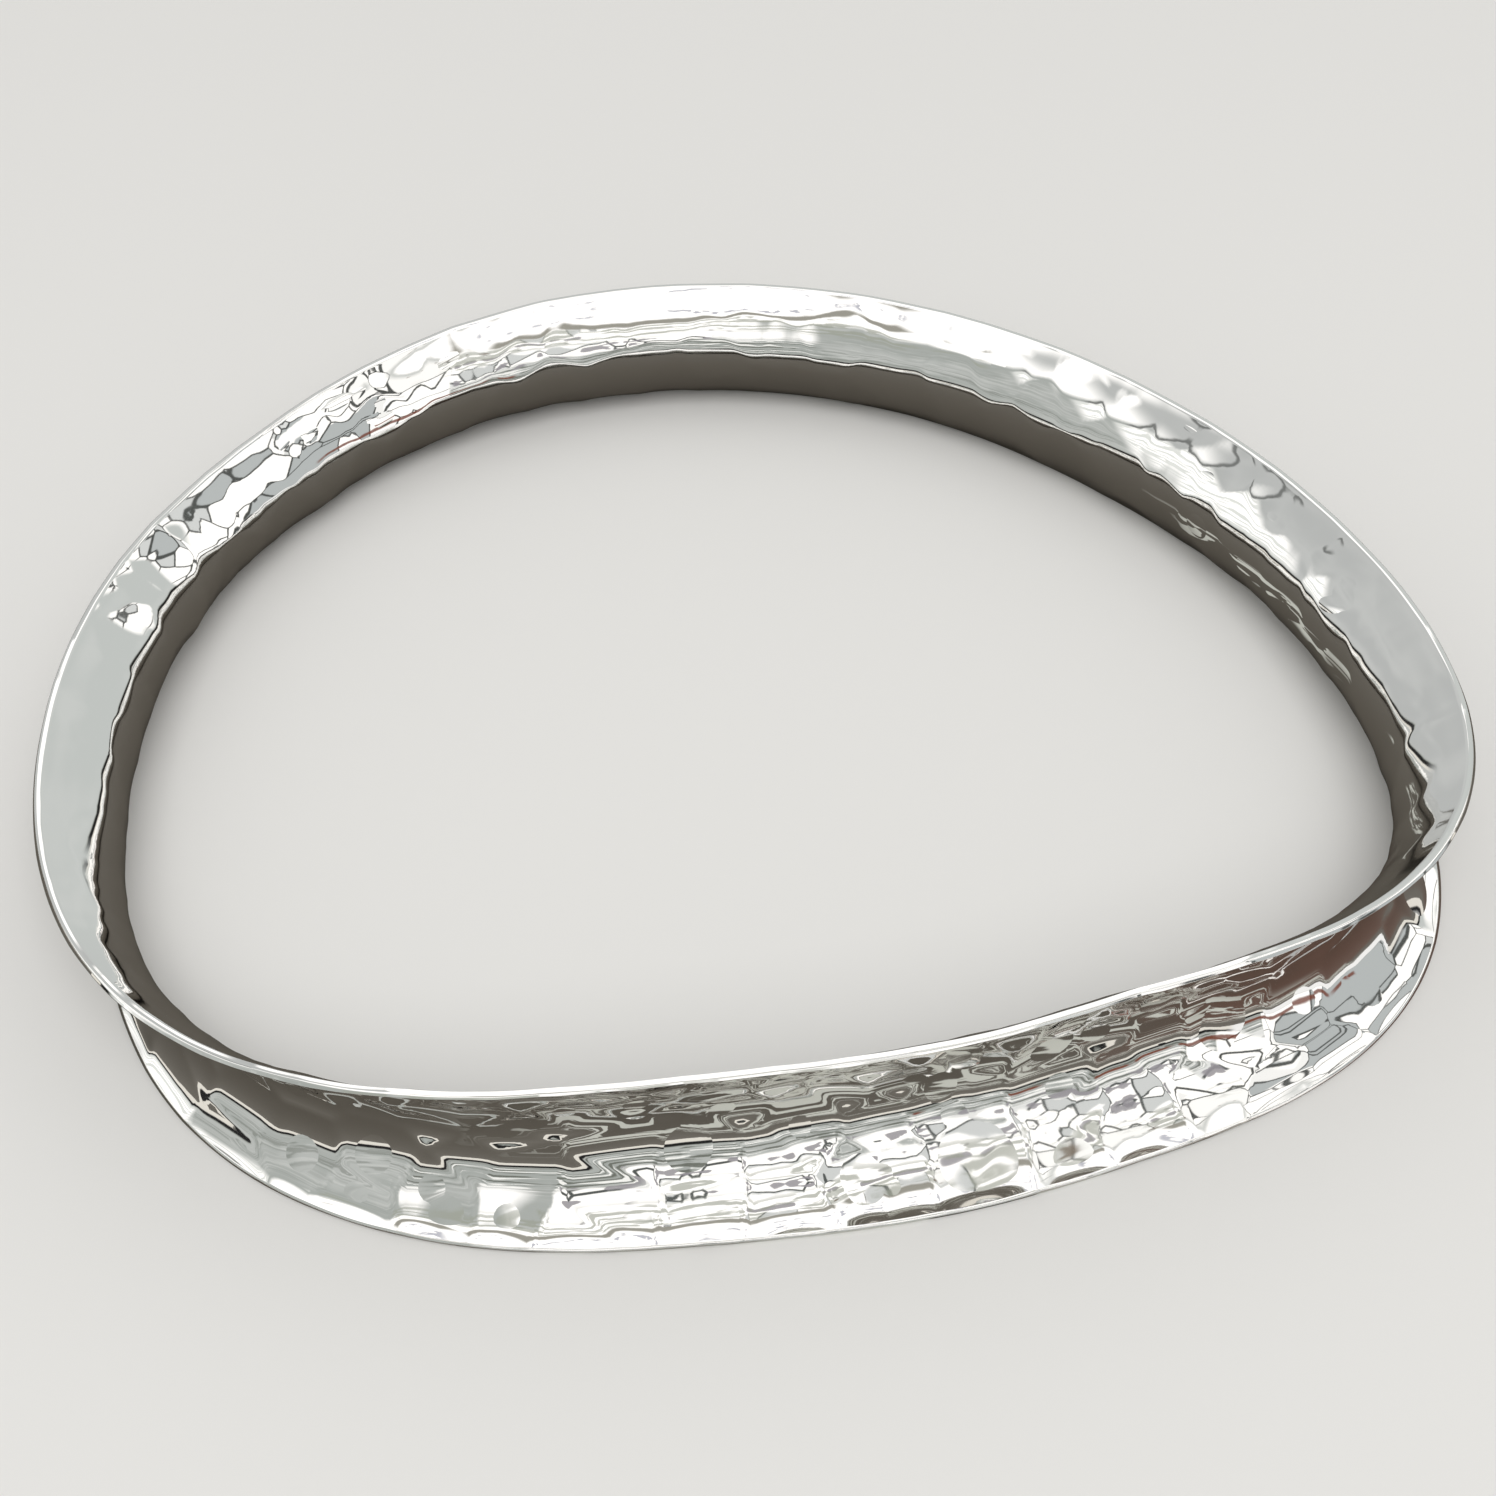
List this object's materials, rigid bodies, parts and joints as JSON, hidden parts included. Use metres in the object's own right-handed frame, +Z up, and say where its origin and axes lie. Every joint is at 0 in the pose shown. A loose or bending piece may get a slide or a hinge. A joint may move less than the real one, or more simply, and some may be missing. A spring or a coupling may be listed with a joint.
{
  "type": "bangle",
  "caption": "Closed one-piece bangle: a thin metal strip bent into a lopsided oval, flared along both edges and hammered all over.",
  "frame": {"origin": "on the surface that the bangle lies on, under the middle of its box", "axes": "+Z up through the wrist hollow, +X along the oval's longer axis, -Y towards its flatter and taller side"},
  "size_m": [0.0708, 0.0644, 0.0098],
  "materials": {
    "silver": "mirror-polished silver over fine planishing hammer marks"
  },
  "bodies": {
    "root": {"band": "silver"}
  },
  "joints": []
}
